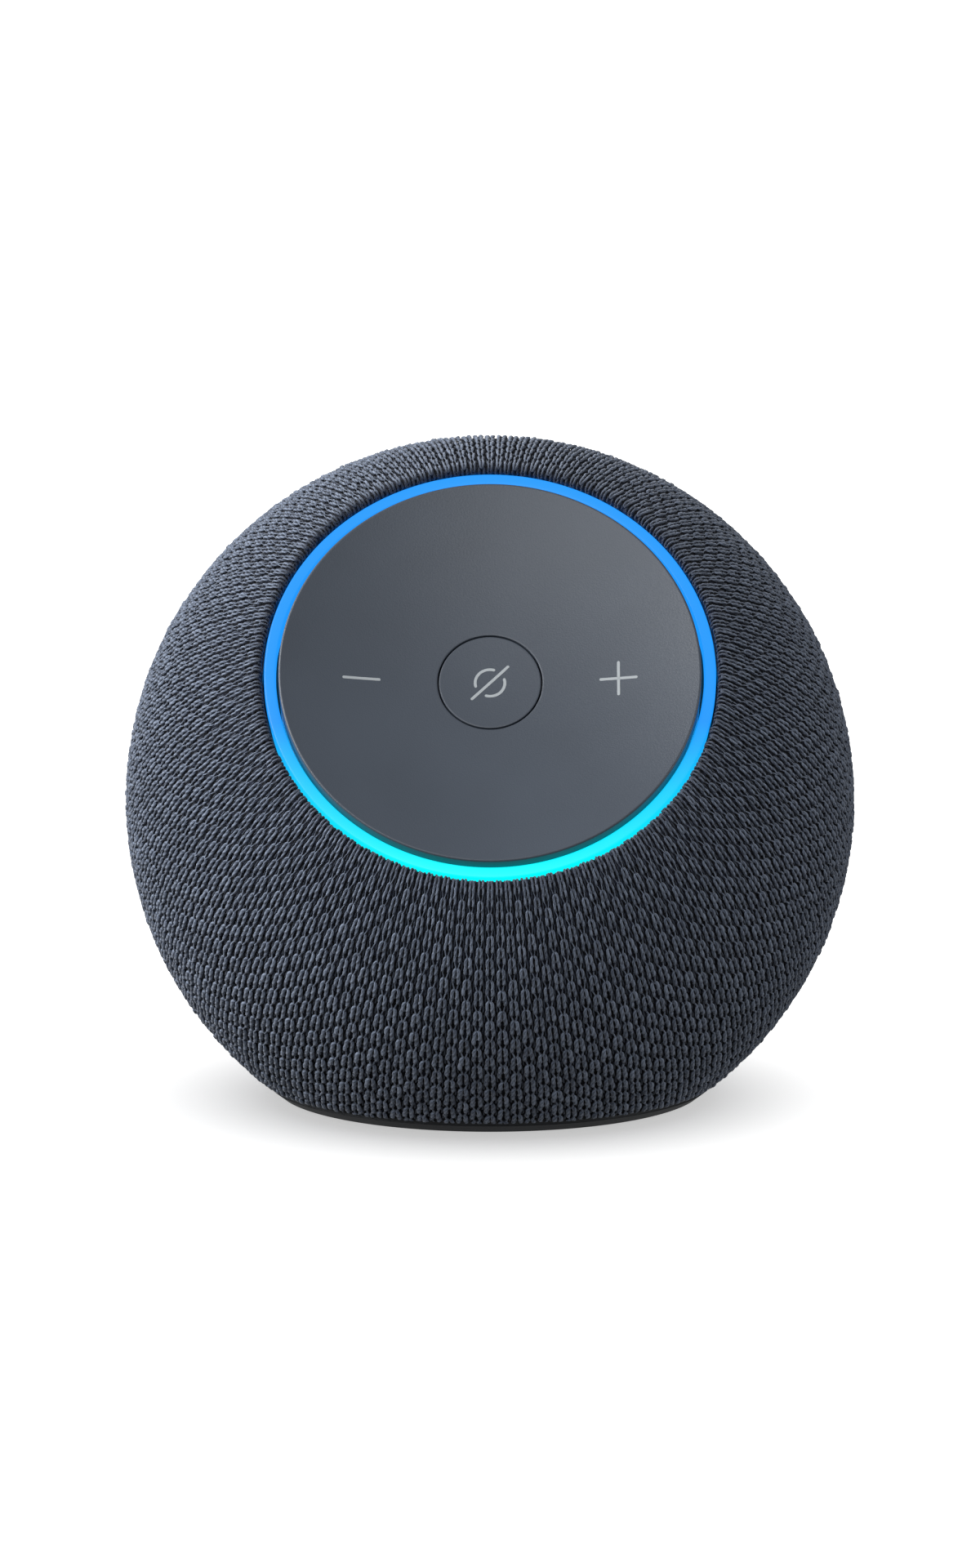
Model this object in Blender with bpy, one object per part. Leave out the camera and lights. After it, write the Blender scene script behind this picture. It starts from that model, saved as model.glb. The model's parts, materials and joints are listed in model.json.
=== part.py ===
"""Smart home hub: a fabric-covered ball speaker with a tilted control dish and a light ring.

The origin is on the floor under the middle of the base, +Z is up and the front faces -Y.
Sizes below are in millimetres. solid() and shape_object() turn them into metres.
"""
import math

import bmesh
import bpy
from mathutils import Matrix

MM = 0.001
GAP = 0.3  # clearance between pieces that touch

# The ball, its cover and its shells
BALL_R = 54.35
BALL_Z = 44.85  # height of the ball's centre
FABRIC = 1.2
FABRIC_MOUTH = 33.0  # radius of the cover's opening around the light ring
FABRIC_HEM_Z = 1.5
SHELL_R = 52.5
SHELL_WALL = 2.1
SHELL_MOUTH = 34.6
SHELL_IN = SHELL_R - SHELL_WALL
ROUND = 36  # sides of the ball's turned pieces

# Base
FOOT_R = 28.0
FOOT_H = 1.5
RIM_Z = 0.2
RIM_R = BALL_R - 0.15
RIM_TOP = FABRIC_HEM_Z - GAP
SHELF_R = 29.6  # the base above its rim, inside the cover's hem
FLOOR_Z = (1.8, 3.6)
LOWER_Z = (3.9, 12.1)
BAFFLE_Z = (12.4, 14.4)
BAFFLE_R = 41.0
UPPER_Z = 14.7
GRILLE_SLOTS = 18

# Control face: heights are along the face's axis, from the ball's centre
FACE_ELEVATION = 35.5
PLATE_R = 30.6
PLATE_RIM = 42.5
PLATE_EDGE = 0.7  # size of the rounded edge
PLATE_WALL = 1.5
PLATE_SKIRT = 39.9
DISH_DEPTH = 4.0
DISH_R = ((PLATE_R - PLATE_EDGE) ** 2 + DISH_DEPTH**2) / (2 * DISH_DEPTH)
MUTE_R = 7.4
MUTE_FLANGE = (36.35, 36.9)
MUTE_STEM = 35.95
RING_OUT = 32.7
RING_IN = 30.95
RING_TOP = 41.6
KEY_X = 18.5  # minus and plus sit this far from the middle
PIVOT_H = 37.2
PIN_R = 0.8
CHASSIS_FLOOR = (30.1, 31.7)
CHASSIS_WALL = (33.0, 34.3)
FRONT_BOARD = (32.0, 33.2)
LED_LEDGE = 34.7

# Screws
FACE_SCREW_R = 36.8
BAFFLE_SCREW_R = 38.8
BASE_SCREW_R = 26.2
WOOFER_SCREW_R = 31.5
TWEETER_SCREW_X = 11.4
SCREW_R = 0.9
PILOT_R = SCREW_R + GAP

# Woofer, firing down through the baffle: radii and heights
WOOFER_R = 33.4
WOOFER_MOUTH = 27.6
COIL_R = 9.5

# Tweeter, firing forwards under the control face: heights along its own axis
TWEETER_ELEVATION = -27
TWEETER_R = 9.0
TWEETER_H = (42.8, 44.3)

# Power inlet at the back
PORT_Z = 18.0
PORT_R = 6.6
PORT_IN = 5.4
PORT_Y = (40.9, 42.3)  # the recess's floor

PAINTS = {
    "fabric": ((0.10, 0.11, 0.13), 0.95, 0.0),
    "shell": ((0.05, 0.05, 0.055), 0.7, 0.0),
    "rim": ((0.035, 0.038, 0.045), 0.55, 0.0),
    "plate": ((0.11, 0.12, 0.135), 0.5, 0.0),
    "diffuser": ((0.25, 0.65, 0.95), 0.35, 0.0),
    "white": ((0.8, 0.8, 0.78), 0.6, 0.0),
    "rubber": ((0.03, 0.03, 0.03), 0.85, 0.0),
    "board": ((0.02, 0.10, 0.06), 0.45, 0.0),
    "part": ((0.04, 0.04, 0.045), 0.4, 0.0),
    "paper": ((0.07, 0.07, 0.07), 0.8, 0.0),
    "steel": ((0.55, 0.56, 0.58), 0.3, 1.0),
    "aluminium": ((0.72, 0.73, 0.75), 0.4, 1.0),
    "ferrite": ((0.12, 0.12, 0.12), 0.65, 0.0),
    "copper": ((0.75, 0.4, 0.25), 0.35, 1.0),
}


def paint(slot):
    """The material of a slot, made once."""
    material = bpy.data.materials.get(slot)
    if material is None:
        colour, roughness, metallic = PAINTS[slot]
        material = bpy.data.materials.new(slot)
        material.use_nodes = True
        shader = material.node_tree.nodes["Principled BSDF"]
        shader.inputs["Base Color"].default_value = (*colour, 1.0)
        shader.inputs["Roughness"].default_value = roughness
        shader.inputs["Metallic"].default_value = metallic
        material.diffuse_color = (*colour, 1.0)
    return material


# ---- frames: each is an empty whose +Z is the axis that its pieces are turned about ----


def frame_empty(name, location, tilt, parent=None):
    empty = bpy.data.objects.new(name, None)
    empty.empty_display_size = 10 * MM
    empty.location = [value * MM for value in location]
    empty.rotation_euler.x = math.radians(tilt)
    empty.parent = parent
    bpy.context.collection.objects.link(empty)
    return empty


# ---- shapes: bmeshes in millimetres ----


def lathe(outline, sides, spot=(0, 0)):
    """A solid turned about Z from a closed outline of (radius, height) points."""
    shape = bmesh.new()
    rings = []
    for radius, height in outline:
        count = 1 if radius == 0 else sides
        turns = [2 * math.pi * i / sides for i in range(count)]
        rings.append(
            [
                shape.verts.new(
                    (spot[0] + radius * math.cos(a), spot[1] + radius * math.sin(a), height)
                )
                for a in turns
            ]
        )
    for ring, following in zip(rings, rings[1:] + rings[:1]):
        for i in range(sides):
            j = (i + 1) % sides
            corners = [ring[i % len(ring)], ring[j % len(ring)]]
            corners += [following[j % len(following)], following[i % len(following)]]
            face = list(dict.fromkeys(corners))
            if len(face) > 2:
                shape.faces.new(face)
    return shape


def rod(radius, low, high, sides=12, spot=(0, 0)):
    return lathe([(0, low), (radius, low), (radius, high), (0, high)], sides, spot)


def tube(inner, outer, low, high, sides):
    return lathe([(inner, low), (outer, low), (outer, high), (inner, high)], sides)


def prism(outline, low, high):
    """An (x, y) outline extruded along Z."""
    shape = bmesh.new()
    bottom = [shape.verts.new((x, y, low)) for x, y in outline]
    top = [shape.verts.new((x, y, high)) for x, y in outline]
    shape.faces.new(bottom)
    shape.faces.new(top)
    for i in range(len(outline)):
        j = (i + 1) % len(outline)
        shape.faces.new((bottom[i], bottom[j], top[j], top[i]))
    return shape


def block(x, y, z):
    """A box between the given (low, high) pairs."""
    return prism([(x[0], y[0]), (x[1], y[0]), (x[1], y[1]), (x[0], y[1])], *z)


def moved(shape, matrix):
    bmesh.ops.transform(shape, matrix=matrix, verts=shape.verts)
    return shape


def together(shapes):
    """Several shapes in one bmesh, for a cutter or a set of bosses."""
    whole = bmesh.new()
    for shape in shapes:
        copy = bpy.data.meshes.new("copy")
        shape.to_mesh(copy)
        whole.from_mesh(copy)
        bpy.data.meshes.remove(copy)
        shape.free()
    return whole


def spots(radius, angles):
    """Places on a circle, for screws and what holds them."""
    turns = [math.radians(angle) for angle in angles]
    return [(radius * math.cos(turn), radius * math.sin(turn)) for turn in turns]


def arc(radius, start, stop, steps, centre=(0, 0)):
    """Points of an arc, its angles measured from +Z towards the radius."""
    turns = [math.radians(start + (stop - start) * i / steps) for i in range(steps + 1)]
    return [(centre[0] + radius * math.sin(t), centre[1] + radius * math.cos(t)) for t in turns]


# ---- objects ----


def shape_object(name, shape, parent, origin=(0, 0, 0)):
    bmesh.ops.translate(shape, vec=[-value for value in origin], verts=shape.verts)
    bmesh.ops.scale(shape, vec=(MM, MM, MM), verts=shape.verts)
    bmesh.ops.recalc_face_normals(shape, faces=shape.faces)
    mesh = bpy.data.meshes.new(name)
    shape.to_mesh(mesh)
    shape.free()
    made = bpy.data.objects.new(name, mesh)
    made.location = [value * MM for value in origin]
    made.parent = parent
    bpy.context.collection.objects.link(made)
    return made


def solid(name, slot, shape, parent=None, origin=(0, 0, 0)):
    """One sub-part, with its material and its origin."""
    made = shape_object(name, shape, parent, origin)
    made.data.materials.append(paint(slot))
    made.data.shade_smooth()
    made.data.set_sharp_from_angle(angle=math.radians(32))
    return made


def boolean(target, operation, shape, parent=None):
    """Cut a shape out of a sub-part, or weld one to it."""
    tool = shape_object(f"{target.name}_{operation.lower()}", shape, parent)
    tool.hide_render = True
    tool.display_type = "WIRE"
    modifier = target.modifiers.new(operation.title(), "BOOLEAN")
    modifier.operation = operation
    modifier.solver = "EXACT"
    modifier.object = tool


def cut(target, shape, parent=None):
    boolean(target, "DIFFERENCE", shape, parent)


def weld(target, shape, parent=None):
    boolean(target, "UNION", shape, parent)


def screws(name, places, head_z, tip_z, parent=None, head_r=1.7, head_h=0.9, shaft_r=SCREW_R):
    """Pan-head screws along the frame's Z, their heads at head_z and their tips at tip_z."""
    side = math.copysign(1, tip_z - head_z)
    for number, (x, y) in enumerate(places, 1):
        neck = head_z + side * head_h
        outline = [(0, head_z), (head_r * 0.7, head_z), (head_r, head_z + side * 0.35)]
        outline += [(head_r, neck), (shaft_r, neck), (shaft_r, tip_z), (0, tip_z)]
        solid(f"{name}_{number}", "steel", lathe(outline, 8, (x, y)), parent)


# ---- outlines shared by several pieces ----


def skin(outer, inner, mouth):
    """A ball's wall with a round mouth at the top of its axis, as a closed outline."""
    walls = []
    for radius in (outer, inner):
        lip = math.degrees(math.asin(mouth / radius))
        walls.append(arc(radius, lip, 90, 4) + arc(radius, 90, 180, 7)[1:])
    for wall in walls:
        wall[-1] = (0, wall[-1][1])
    return walls[0] + walls[1][::-1]


def dish(radius):
    """Height of the control face's hollow surface at a radius."""
    return PLATE_RIM - DISH_DEPTH + DISH_R - math.sqrt(DISH_R**2 - radius**2)


def ball_radius(wall, height):
    """Radius of a ball's wall at a height above the floor."""
    return math.sqrt(wall**2 - (BALL_Z - height) ** 2)


def port_hole():
    """The hole for the power inlet, along the world's Y."""
    return moved(rod(PORT_R + GAP, 38, 60, 24), AXIS_Y)


AXIS_Y = Matrix.Translation((0, 0, PORT_Z)) @ Matrix.Rotation(-math.pi / 2, 4, "X")  # Z to +Y
FACE_BACK = Matrix.Rotation(math.pi / 2, 4, "X")  # Y to +Z, and Z to -Y
FACE_BACK_IN = Matrix(((1, 0, 0, 0), (0, 0, 1, 0), (0, 1, 0, 0), (0, 0, 0, 1)))  # Y and Z swapped
SIDEWAYS = Matrix(((0, 0, 1, 0), (1, 0, 0, 0), (0, 1, 0, 0), (0, 0, 0, 1)))  # X to Y, Y to Z, Z to X

FACE_TURNS = (45, 135, 225, 315)
FACE_SCREWS = spots(FACE_SCREW_R, FACE_TURNS)
BAFFLE_SCREWS = spots(BAFFLE_SCREW_R, (25, 155, 205, 335))
BASE_SCREWS = spots(BASE_SCREW_R, (90, 210, 330))
WOOFER_SCREWS = spots(WOOFER_SCREW_R, (45, 135, 225, 315))
TWEETER_SCREWS = [(-TWEETER_SCREW_X, 0), (TWEETER_SCREW_X, 0)]


def make_cover(face):
    cover = solid(
        "fabric_cover", "fabric", lathe(skin(BALL_R, BALL_R - FABRIC, FABRIC_MOUTH), ROUND), face
    )
    cut(cover, block((-60, 60), (-60, 60), (-20, FABRIC_HEM_Z)))
    cut(cover, port_hole())


def make_upper_shell(face, tweeter):
    shell = solid("upper_shell", "shell", lathe(skin(SHELL_R, SHELL_IN, SHELL_MOUTH), ROUND), face)
    boss_low = CHASSIS_FLOOR[1] + GAP
    weld(shell, together([rod(2.1, boss_low, 35, 12, spot) for spot in FACE_SCREWS]), face)
    boss_low = TWEETER_H[1] + GAP
    weld(shell, together([rod(2, boss_low, 50.2, 12, spot) for spot in TWEETER_SCREWS]), tweeter)
    weld(shell, together([rod(2.4, UPPER_Z - 0.5, 21, 12, spot) for spot in BAFFLE_SCREWS]))
    cut(shell, block((-60, 60), (-60, 60), (-20, UPPER_Z)))
    cut(shell, together([rod(PILOT_R, 31, 34.4, 10, spot) for spot in FACE_SCREWS]), face)
    cut(shell, together([rod(PILOT_R, 13, 20, 10, spot) for spot in BAFFLE_SCREWS]))
    cut(shell, together([rod(PILOT_R, 44, 48, 10, spot) for spot in TWEETER_SCREWS]), tweeter)
    slots = [block((x - 0.8, x + 0.8), (-6.5, 6.5), (45.5, 56)) for x in (-6.4, -3.2, 0, 3.2, 6.4)]
    cut(shell, together(slots), tweeter)
    cut(shell, port_hole())


def make_lower_shell():
    low, high = LOWER_Z
    heights = (low, (low + high) / 2, high)
    outline = [(ball_radius(SHELL_R, z), z) for z in heights]
    outline += [(ball_radius(SHELL_IN, z), z) for z in (high, low + 1.2)]
    outline += [(23.6, low + 1.2), (23.6, low)]
    shell = solid("lower_shell", "shell", lathe(outline, ROUND))
    weld(shell, together([rod(2.2, low - 0.5, 9.5, 12, spot) for spot in BASE_SCREWS]))
    cut(shell, block((-60, 60), (-60, 60), (0, low)))
    cut(shell, together([rod(PILOT_R, 3, 9, 10, spot) for spot in BASE_SCREWS]))
    grille = []
    for number in range(GRILLE_SLOTS):
        turn = Matrix.Rotation(2 * math.pi * (number + 0.5) / GRILLE_SLOTS, 4, "Z")
        grille.append(moved(block((33, 48), (-0.9, 0.9), (low + 2.2, high - 1.6)), turn))
    cut(shell, together(grille))
    cut(shell, port_hole())


def sunk_hole(spot, face_z):
    """A screw hole with room for its head, going up from a face."""
    step = [(0, face_z - 1), (2, face_z - 1), (2, face_z + 1.1), (PILOT_R, face_z + 1.1)]
    return lathe(step + [(PILOT_R, face_z + 3), (0, face_z + 3)], 12, spot)


def make_base():
    rise = [(ball_radius(RIM_R, z), z) for z in (RIM_Z, (RIM_Z + RIM_TOP) / 2, RIM_TOP)]
    well = FOOT_R + GAP
    outline = [(0, FLOOR_Z[0]), (well, FLOOR_Z[0]), (well, RIM_Z)] + rise
    outline += [(SHELF_R, RIM_TOP), (SHELF_R, FLOOR_Z[0] + 0.2), (32.2, FLOOR_Z[1]), (0, FLOOR_Z[1])]
    base = solid("base_plate", "rim", lathe(outline, ROUND))
    cut(base, together([sunk_hole(spot, FLOOR_Z[0]) for spot in BASE_SCREWS]))
    screws("base_screw", BASE_SCREWS, FLOOR_Z[0] + 0.1, 8.5, head_h=0.7, head_r=1.6)
    foot = [(0, 0), (FOOT_R - 0.6, 0), (FOOT_R, 0.6), (FOOT_R, FOOT_H), (0, FOOT_H)]
    solid("rubber_foot", "rubber", lathe(foot, ROUND))
    cone = [(0, 3.9), (21, 3.9), (21, 4.6), (13, 5.6), (5.5, 8), (0, 9.6)]
    solid("sound_deflector", "shell", lathe(cone, 24))


def make_baffle():
    baffle = solid("woofer_baffle", "shell", tube(WOOFER_MOUTH, BAFFLE_R, *BAFFLE_Z, ROUND))
    cut(baffle, together([sunk_hole(spot, BAFFLE_Z[0]) for spot in BAFFLE_SCREWS]))
    cut(baffle, together([rod(0.95, 12, 15, 10, spot) for spot in WOOFER_SCREWS]))
    cut(baffle, port_hole())
    screws("baffle_screw", BAFFLE_SCREWS, BAFFLE_Z[0] + 0.1, 18.5, head_h=0.7, head_r=1.6)


def make_woofer(cone_axis):
    solid("woofer_gasket", "rubber", tube(28.8, 30.2, 14.7, 15.4, 24))
    outline = [(27.2, 15.7), (WOOFER_R, 15.7), (WOOFER_R, 17), (29.6, 17), (20.4, 27.4)]
    outline += [(20.4, 29.7), (11, 29.7), (11, 28.4), (19, 28.4), (19, 26.6), (27.2, 17.9)]
    basket = solid("woofer_basket", "steel", lathe(outline, 24))
    cut(basket, together([rod(0.95, 15, 18, 10, spot) for spot in WOOFER_SCREWS]))
    windows = []
    for number in range(6):
        turn = Matrix.Rotation(math.radians(60 * number), 4, "Z")
        windows.append(moved(block((14, 33), (-7, 7), (19.4, 25.6)), turn))
    cut(basket, together(windows))
    screws("woofer_screw", WOOFER_SCREWS, 18.2, 13, head_r=1.3, shaft_r=0.65)
    roll, seat = 24.6, 14.9
    surround = [(21.2, seat + 0.5), (21.2, seat)] + arc(2.2, 270, 90, 4, (roll, seat))
    surround += [(28.4, seat), (28.4, seat + 0.5), (26.3, seat + 0.5)]
    surround += arc(1.7, 90, 270, 4, (roll, seat)) + [(22.9, seat + 0.5)]
    solid("woofer_surround", "rubber", lathe(surround, 20))
    cone = [(22.4, 15.7), (15.6, 20.4), (9.9, 23.6), (9.9, 24.4), (15.6, 21.2), (22.4, 16.5)]
    solid("woofer_cone", "paper", lathe(cone, 24), cone_axis)
    cap = [(0, 19.2), (5.5, 20), (10.4, 22.3), (10.4, 22.9), (5.5, 20.6), (0, 19.8)]
    solid("woofer_dust_cap", "paper", lathe(cap, 20), cone_axis)
    solid("woofer_voice_coil", "copper", tube(COIL_R - 0.5, COIL_R, 23.3, 33.4, 20), cone_axis)
    waves = [(COIL_R + GAP + 1.75 * i, 26 + 0.4 * (i % 2)) for i in range(6)]
    spider = waves + [(radius, height - 0.4) for radius, height in reversed(waves)]
    solid("woofer_spider", "paper", lathe(spider, 16))
    solid("woofer_top_plate", "steel", tube(COIL_R + 0.4, 17, 30, 33, 24))
    solid("woofer_magnet", "ferrite", tube(11.2, 18, 33.3, 41.3, 24))
    yoke = [(0, 30.2), (8.6, 30.2), (8.6, 41.6), (17, 41.6), (17, 45), (0, 45)]
    solid("woofer_yoke", "steel", lathe(yoke, 24))


def make_tweeter(tweeter):
    low, high = TWEETER_H
    outline = [(6.4, low), (TWEETER_R, low), (TWEETER_R, high), (7.2, high), (6.4, high - 0.7)]
    frame = solid("tweeter_frame", "part", lathe(outline, 24), tweeter)
    ears = [block((x[0], x[1]), (-2, 2), (low, high)) for x in ((-13.4, -7.6), (7.6, 13.4))]
    weld(frame, together(ears), tweeter)
    cut(frame, together([rod(PILOT_R, 42, 45, 10, spot) for spot in TWEETER_SCREWS]), tweeter)
    screws("tweeter_screw", TWEETER_SCREWS, low - 1.2, 47.6, tweeter)
    dome = [(0, 44.6), (3.4, 44.1), (6.1, 42.9), (6.1, 42.5), (3.4, 43.7), (0, 44.2)]
    solid("tweeter_dome", "paper", lathe(dome, 20), tweeter)
    magnet = [(0, 35), (6.8, 35), (6.8, 42.2), (0, 42.2)]
    solid("tweeter_magnet", "ferrite", lathe(magnet, 20), tweeter)


def make_chassis(face):
    """The frame that holds the light ring, the boards and the rocking plate."""
    low, high = CHASSIS_FLOOR
    inner, outer = CHASSIS_WALL
    outline = [(22, low), (outer, low), (outer, 39.6), (inner, 39.6), (inner, LED_LEDGE)]
    outline += [(29.8, LED_LEDGE), (29.8, high), (22, high)]
    chassis = solid("face_chassis", "part", lathe(outline, 36), face)
    ear = ((outer - 0.8, FACE_SCREW_R + 1.8), (-2.1, 2.1), (low, high))
    ears = [moved(block(*ear), Matrix.Rotation(math.radians(turn), 4, "Z")) for turn in FACE_TURNS]
    weld(chassis, together(ears), face)
    posts = [block((-2, 2), y, (high - 0.5, 38.6)) for y in ((22.3, 24.4), (-24.4, -22.3))]
    weld(chassis, together(posts), face)
    cut(chassis, together([rod(PILOT_R, 29, 33, 10, spot) for spot in FACE_SCREWS]), face)
    cut(chassis, pivot_rod(PIN_R + GAP, -26, 26), face)
    screws("face_screw", FACE_SCREWS, low - 1.2, 34, face)
    for name, start, stop in (("upper", 22.5, 27.4), ("lower", -27.4, -22.5)):
        solid(f"rocker_pin_{name}", "steel", pivot_rod(PIN_R, start, stop), face)


def pivot_rod(radius, start, stop):
    """A rod along the rocking plate's hinge line."""
    along = Matrix.Translation((0, 0, PIVOT_H)) @ Matrix.Rotation(-math.pi / 2, 4, "X")
    return moved(rod(radius, start, stop), along)


def make_boards(face):
    low, high = FRONT_BOARD
    board = solid("front_board", "board", rod(28.6, low, high, 32), face)
    notches = [block((-2.4, 2.4), y, (low - 1, high + 1)) for y in ((21.9, 24.8), (-24.8, -21.9))]
    cut(board, together(notches), face)
    ring = solid("led_board", "board", tube(30, 32.7, 35, 35.6, 32), face)
    lamps = []
    for number in range(12):
        turn = Matrix.Rotation(math.radians(30 * number + 15), 4, "Z")
        lamps.append(moved(block((31.1, 32.5), (-0.8, 0.8), (35.4, 36.3)), turn))
    weld(ring, together(lamps), face)
    solid("light_baffle", "white", tube(29.9, 30.65, 35.9, 38.9, 32), face)
    sheet = high + GAP
    membrane = solid("button_membrane", "rubber", block((-24, 24), (-6, 6), (sheet, sheet + 0.5)), face)
    domes = [lathe([(0, sheet + 0.2), (3.6, sheet + 0.2), (2.6, 35), (0, 35)], 14, (x, 0))
             for x in (-KEY_X, 0, KEY_X)]
    weld(membrane, together(domes), face)
    hollows = [rod(2.5, sheet - 1, 34.6, 14, (x, 0)) for x in (-KEY_X, 0, KEY_X)]
    cut(membrane, together(hollows), face)
    for name, x in (("minus", -KEY_X), ("mute", 0), ("plus", KEY_X)):
        body = block((x - 1.6, x + 1.6), (-1.6, 1.6), (sheet, sheet + 0.7))
        solid(f"switch_{name}", "steel", body, face)
    for name, x in (("left", -12.5), ("right", 12.5)):
        body = block((x - 1.4, x + 1.4), (20, 22), (sheet, sheet + 0.9))
        solid(f"microphone_{name}", "steel", body, face)


def make_light_ring(face):
    top = RING_TOP
    outline = [(RING_IN, 40.2), (RING_IN, top - 0.3), (RING_IN + 0.3, top), (RING_OUT - 0.3, top)]
    outline += [(RING_OUT, top - 0.3), (RING_OUT, 40.2), (32.4, 40), (32.4, 36.6)]
    outline += [(31.3, 36.6), (31.3, 40)]
    solid("light_ring", "diffuser", lathe(outline, 56), face)


def make_buttons(rocker):
    """The dished plate, which rocks for volume, and the mute button in its middle."""
    pivot = (0, 0, PIVOT_H)
    hole = MUTE_R + 0.15
    rim = PLATE_R - PLATE_EDGE
    top = [(radius, dish(radius)) for radius in (hole, 16, 24, rim)]
    edge = [(PLATE_R - 0.2, PLATE_RIM - 0.2), (PLATE_R, PLATE_RIM - PLATE_EDGE)]
    under = [(radius, dish(radius) - PLATE_WALL) for radius in (29, 20, hole)]
    skirt = [(PLATE_R, PLATE_SKIRT), (29, PLATE_SKIRT)]
    plate = solid("face_plate", "plate", lathe(top + edge + skirt + under, 56), rocker, pivot)
    plate.location = (0, 0, 0)
    lugs = [block((-2.2, 2.2), y, (35.9, 40.5)) for y in ((25, 27.6), (-27.6, -25))]
    plungers = [rod(1.6, 35.55, 39, 12, (x, 0)) for x in (-KEY_X, KEY_X)]
    down = Matrix.Translation((0, 0, -PIVOT_H))
    weld(plate, moved(together(lugs + plungers), down), rocker)
    cut(plate, moved(pivot_rod(PIN_R + GAP, -29, 29), down), rocker)
    low, high = MUTE_FLANGE
    cap = [(radius, dish(radius)) for radius in (0, 4, MUTE_R - 0.25)]
    cap += [(MUTE_R, dish(MUTE_R) - 0.25), (MUTE_R, high), (8.7, high), (8.7, low)]
    cap += [(2, low), (2, MUTE_STEM), (0, MUTE_STEM)]
    button = solid("mute_button", "plate", lathe(cap, 32), rocker, pivot)
    button.location = (0, 0, 0)


def make_electronics():
    board = solid("main_board", "board", block((-21, 21), (24.5, 26.1), (27, 65)))
    cut(board, together([block((x - 2, x + 2), (24, 27), (26, 29)) for x in (-18, 18)]))
    solid("shield_can", "steel", block((-10, 10), (21.6, 24.2), (46.5, 62)))
    solid("board_connector", "part", block((12, 18), (21, 24.2), (30, 36)))
    plate = [(-24, 14.7), (-20.5, 14.7), (-20.5, 30), (20.5, 30), (20.5, 14.7), (24, 14.7)]
    plate += [(24, 36), (20, 40), (20, 64), (-20, 64), (-20, 40), (-24, 36)]
    solid("heat_sink", "aluminium", moved(prism(plate, -28.6, -27), FACE_BACK))
    path = [(-22.1, 68), (-16, 70.3), (-6, 71.3), (6, 70.8), (16, 68.2), (22, 65.2), (24.1, 64)]
    ribbon = [(y, z) for y, z in path] + [(y, z - 0.5) for y, z in reversed(path)]
    solid("ribbon_cable", "white", moved(prism(ribbon, -5, 5), SIDEWAYS))
    solid("antenna", "copper", block((43.4, 44.2), (2, 16), (38, 52)))


def make_port():
    """The power inlet: a recess that follows the ball's surface, and the jack behind it."""
    floor = PORT_Y
    outline = [(3.9, floor[0]), (PORT_R, floor[0]), (PORT_R, 56), (PORT_IN, 56)]
    outline += [(PORT_IN, floor[1]), (3.9, floor[1])]
    bezel = solid("port_bezel", "rim", moved(lathe(outline, 28), AXIS_Y))
    ball = lathe([(0, -RIM_R)] + arc(RIM_R, 170, 10, 16) + [(0, RIM_R)], 48)
    boolean(bezel, "INTERSECT", moved(ball, Matrix.Translation((0, 0, BALL_Z))))
    body = block((-4.5, 4.5), (PORT_Z - 3.3, PORT_Z + 3.3), (33.8, 40.6))
    jack = solid("dc_jack", "part", moved(body, FACE_BACK_IN))
    weld(jack, moved(rod(3.5, 40, 41.9, 20), AXIS_Y))
    bore = [(0.8, 34.8), (2.8, 34.8), (2.8, 43), (0.8, 43)]
    cut(jack, moved(lathe(bore, 16), AXIS_Y))
    cut(jack, moved(rod(1, 41.2, 43, 16), AXIS_Y))


def clear_scene():
    for thing in list(bpy.data.objects):
        bpy.data.objects.remove(thing, do_unlink=True)


def build():
    clear_scene()
    ball = frame_empty("ball_frame", (0, 0, BALL_Z), 0)
    face = frame_empty("face_frame", (0, 0, 0), 90 - FACE_ELEVATION, ball)
    tweeter = frame_empty("tweeter_axis", (0, 0, 0), 90 - TWEETER_ELEVATION, ball)
    rocker = frame_empty("rocker_axis", (0, 0, PIVOT_H), 0, face)
    cone_axis = frame_empty("cone_axis", (0, 0, 0), 0)
    make_cover(face)
    make_upper_shell(face, tweeter)
    make_lower_shell()
    make_base()
    make_baffle()
    make_woofer(cone_axis)
    make_tweeter(tweeter)
    make_chassis(face)
    make_boards(face)
    make_light_ring(face)
    make_buttons(rocker)
    make_electronics()
    make_port()


build()
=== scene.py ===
"""Looks of the smart home hub: knitted cover, lit ring, dished control face, light and camera."""
import json
import math

import bmesh
import bpy
import numpy as np
from mathutils import Matrix, Vector

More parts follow.
